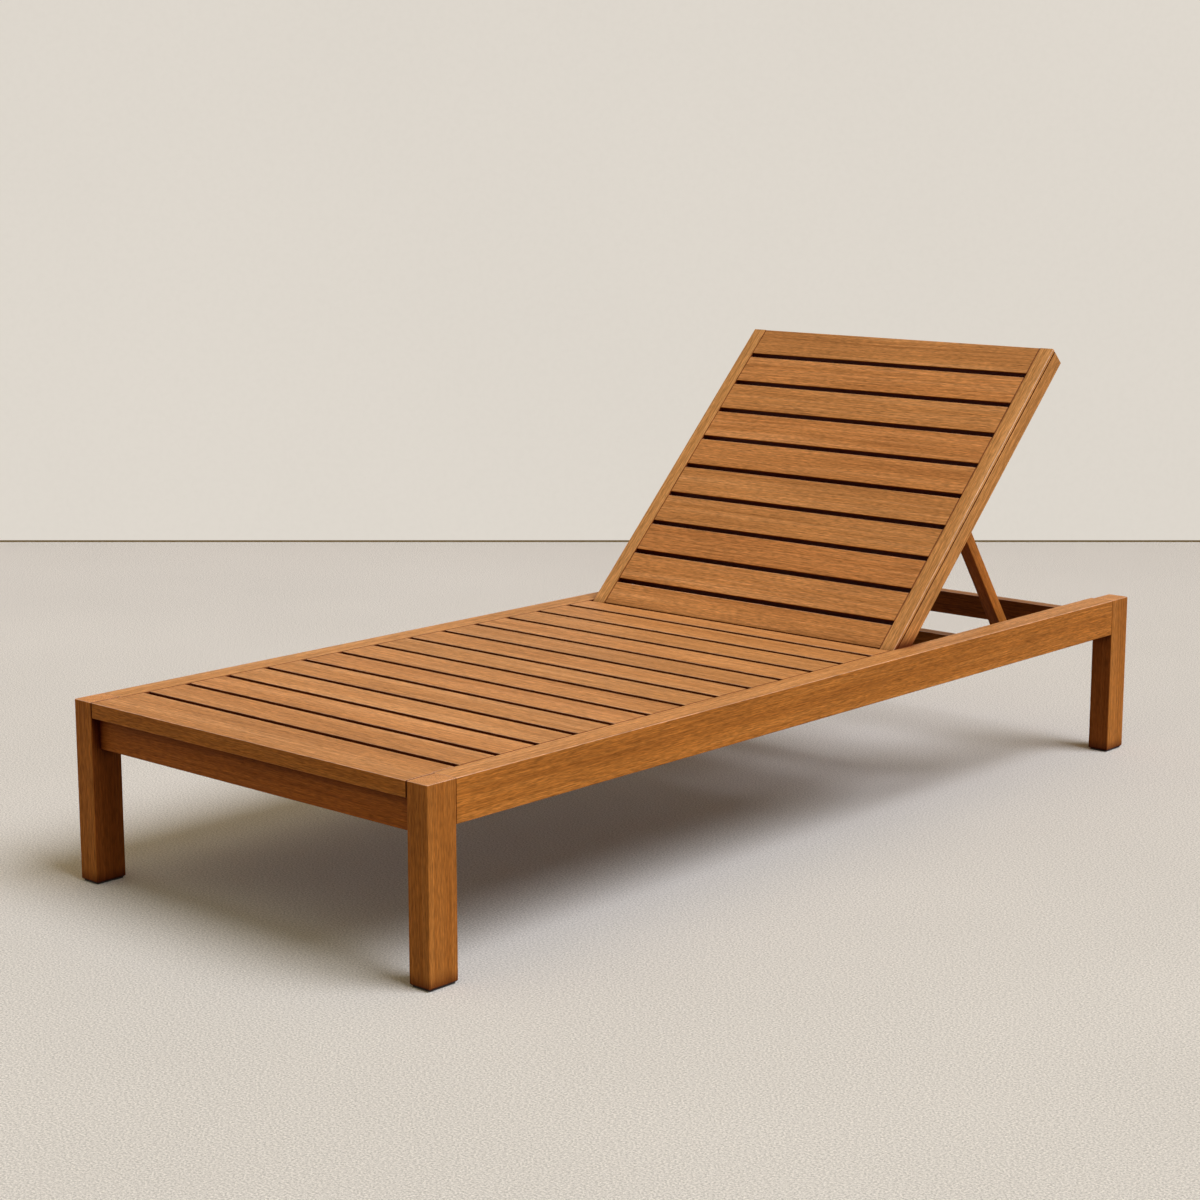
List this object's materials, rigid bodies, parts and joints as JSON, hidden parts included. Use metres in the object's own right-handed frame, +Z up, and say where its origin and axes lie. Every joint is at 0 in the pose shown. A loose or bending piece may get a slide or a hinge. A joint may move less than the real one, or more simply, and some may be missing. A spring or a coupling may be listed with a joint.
{
  "type": "adjustable sun lounger",
  "caption": "Low wooden sun lounger with a slatted deck between side rails, square legs and a hinged slatted backrest held up by a folding prop in notched racks.",
  "frame": {"origin": "on the floor below the middle of the frame, at the bottom centre of the bounding box", "axes": "+Z up; +Y along the length, from the foot end to the head end where the backrest is; +X to the right for someone who stands at the foot end and looks at the backrest"},
  "size_m": [0.846, 2, 0.8355],
  "materials": {
    "backrest_frame_wood": "oiled hardwood, satin",
    "backrest_slat_wood": "oiled hardwood, satin",
    "dowel_wood": "plain beech, matt",
    "frame_wood": "oiled hardwood, satin",
    "glide_plastic": "matt black plastic",
    "seat_wood": "oiled hardwood, satin",
    "steel_hardware": "brushed stainless steel"
  },
  "bodies": {
    "base": {"deck_dowels": "dowel_wood", "frame_dowels": "dowel_wood", "front_apron": "frame_wood", "hinge_pins": "steel_hardware", "hinge_washers": "steel_hardware", "leg_front_left": "frame_wood", "leg_front_right": "frame_wood", "leg_glides": "glide_plastic", "leg_rear_left": "frame_wood", "leg_rear_right": "frame_wood", "middle_cross_rail": "frame_wood", "notch_rack_left": "frame_wood", "notch_rack_right": "frame_wood", "rack_dowels": "dowel_wood", "rack_screws": "steel_hardware", "rear_cross_rail": "frame_wood", "seat_board_01": "seat_wood", "seat_cleat_left": "frame_wood", "seat_cleat_right": "frame_wood", "seat_cross_rail": "frame_wood", "seat_screws": "steel_hardware", "seat_slat_02": "seat_wood", "seat_slat_03": "seat_wood", "seat_slat_04": "seat_wood", "seat_slat_05": "seat_wood", "seat_slat_06": "seat_wood", "seat_slat_07": "seat_wood", "seat_slat_08": "seat_wood", "seat_slat_09": "seat_wood", "seat_slat_10": "seat_wood", "seat_slat_11": "seat_wood", "seat_slat_12": "seat_wood", "seat_slat_13": "seat_wood", "seat_slat_14": "seat_wood", "side_rail_left": "frame_wood", "side_rail_right": "frame_wood"},
    "backrest": {"backrest_dowels": "dowel_wood", "backrest_slat_01": "backrest_slat_wood", "backrest_slat_02": "backrest_slat_wood", "backrest_slat_03": "backrest_slat_wood", "backrest_slat_04": "backrest_slat_wood", "backrest_slat_05": "backrest_slat_wood", "backrest_slat_06": "backrest_slat_wood", "backrest_slat_07": "backrest_slat_wood", "backrest_slat_08": "backrest_slat_wood", "backrest_slat_09": "backrest_slat_wood", "backrest_slat_10": "backrest_slat_wood", "backrest_stile_left": "backrest_frame_wood", "backrest_stile_right": "backrest_frame_wood", "prop_pivot_pins": "steel_hardware", "prop_washers": "steel_hardware"},
    "prop": {"prop_arm_left": "backrest_frame_wood", "prop_arm_right": "backrest_frame_wood", "prop_crossbar": "backrest_frame_wood", "prop_dowels": "dowel_wood", "prop_pegs": "steel_hardware"}
  },
  "joints": [
    {"name": "backrest_hinge", "type": "hinge", "parent": "base", "child": "backrest", "pos_m": [0, 0.256, 0.296], "axis": [1, 0, 0], "range_deg": [-45, 10]},
    {"name": "prop_pivot", "type": "hinge", "parent": "backrest", "child": "prop", "pos_m": [0, 0.50631, 0.53217], "axis": [1, 0, 0], "range_deg": [-21.6, 96.9]}
  ],
  "couplings": [
    {"joint": "prop_pivot", "follows": "backrest_hinge", "ratio": -2.1511}
  ]
}
